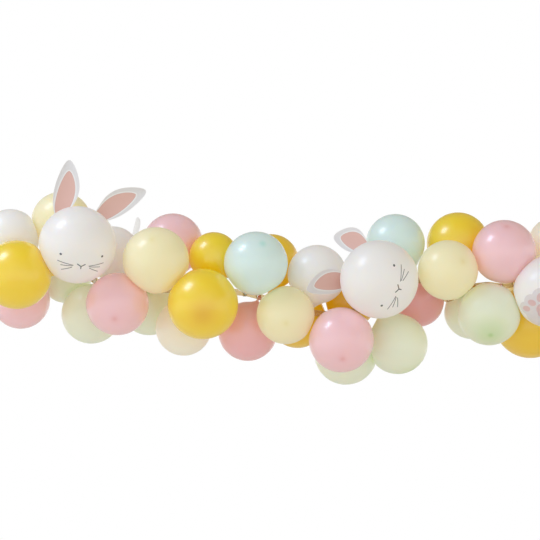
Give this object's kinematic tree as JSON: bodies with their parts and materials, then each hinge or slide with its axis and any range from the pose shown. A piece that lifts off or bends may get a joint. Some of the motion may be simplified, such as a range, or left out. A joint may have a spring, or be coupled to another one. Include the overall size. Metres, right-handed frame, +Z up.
{
  "type": "balloon garland",
  "caption": "Pastel garland of knotted latex balloons packed along a perforated plastic strip, with rabbit and paw prints and card rabbit ears, hung by a tab at each end.",
  "frame": {"origin": "on the back face of the left hanging tab, on the strip's middle line, inboard of its hook hole", "axes": "+X along the garland from the left tab to the right one, -Y out of the front, +Z up"},
  "size_m": [2.4123, 0.5814, 0.8085],
  "materials": {
    "latex_white": "smooth, glossy",
    "latex_yellow": "smooth, glossy",
    "latex_pink": "smooth, glossy",
    "latex_cream": "smooth, glossy",
    "latex_mint": "smooth, glossy",
    "latex_green": "smooth, glossy",
    "latex_ivory": "smooth, glossy",
    "ear_card": "matt, printed",
    "strip_plastic": "clear, slightly tan"
  },
  "bodies": {
    "root": {"balloon_cream_1": "latex_cream", "balloon_cream_2": "latex_cream", "balloon_cream_3": "latex_cream", "balloon_cream_4": "latex_cream", "balloon_cream_5": "latex_cream", "balloon_green_1": "latex_green", "balloon_green_2": "latex_green", "balloon_green_3": "latex_green", "balloon_green_4": "latex_green", "balloon_green_5": "latex_green", "balloon_green_6": "latex_green", "balloon_green_7": "latex_green", "balloon_ivory_1": "latex_ivory", "balloon_ivory_2": "latex_ivory", "balloon_mint_1": "latex_mint", "balloon_mint_2": "latex_mint", "balloon_paw": "latex_white", "balloon_pink_1": "latex_pink", "balloon_pink_2": "latex_pink", "balloon_pink_3": "latex_pink", "balloon_pink_4": "latex_pink", "balloon_pink_5": "latex_pink", "balloon_pink_6": "latex_pink", "balloon_pink_7": "latex_pink", "balloon_rabbit_1": "latex_white", "balloon_rabbit_2": "latex_white", "balloon_white_1": "latex_white", "balloon_white_2": "latex_white", "balloon_white_3": "latex_white", "balloon_yellow_1": "latex_yellow", "balloon_yellow_2": "latex_yellow", "balloon_yellow_3": "latex_yellow", "balloon_yellow_4": "latex_yellow", "balloon_yellow_5": "latex_yellow", "balloon_yellow_6": "latex_yellow", "balloon_yellow_7": "latex_yellow", "balloon_yellow_8": "latex_yellow", "ear_1_left": "ear_card", "ear_1_right": "ear_card", "ear_2_lower": "ear_card", "ear_2_upper": "ear_card", "ear_3": "ear_card", "strip": "strip_plastic"}
  },
  "joints": []
}
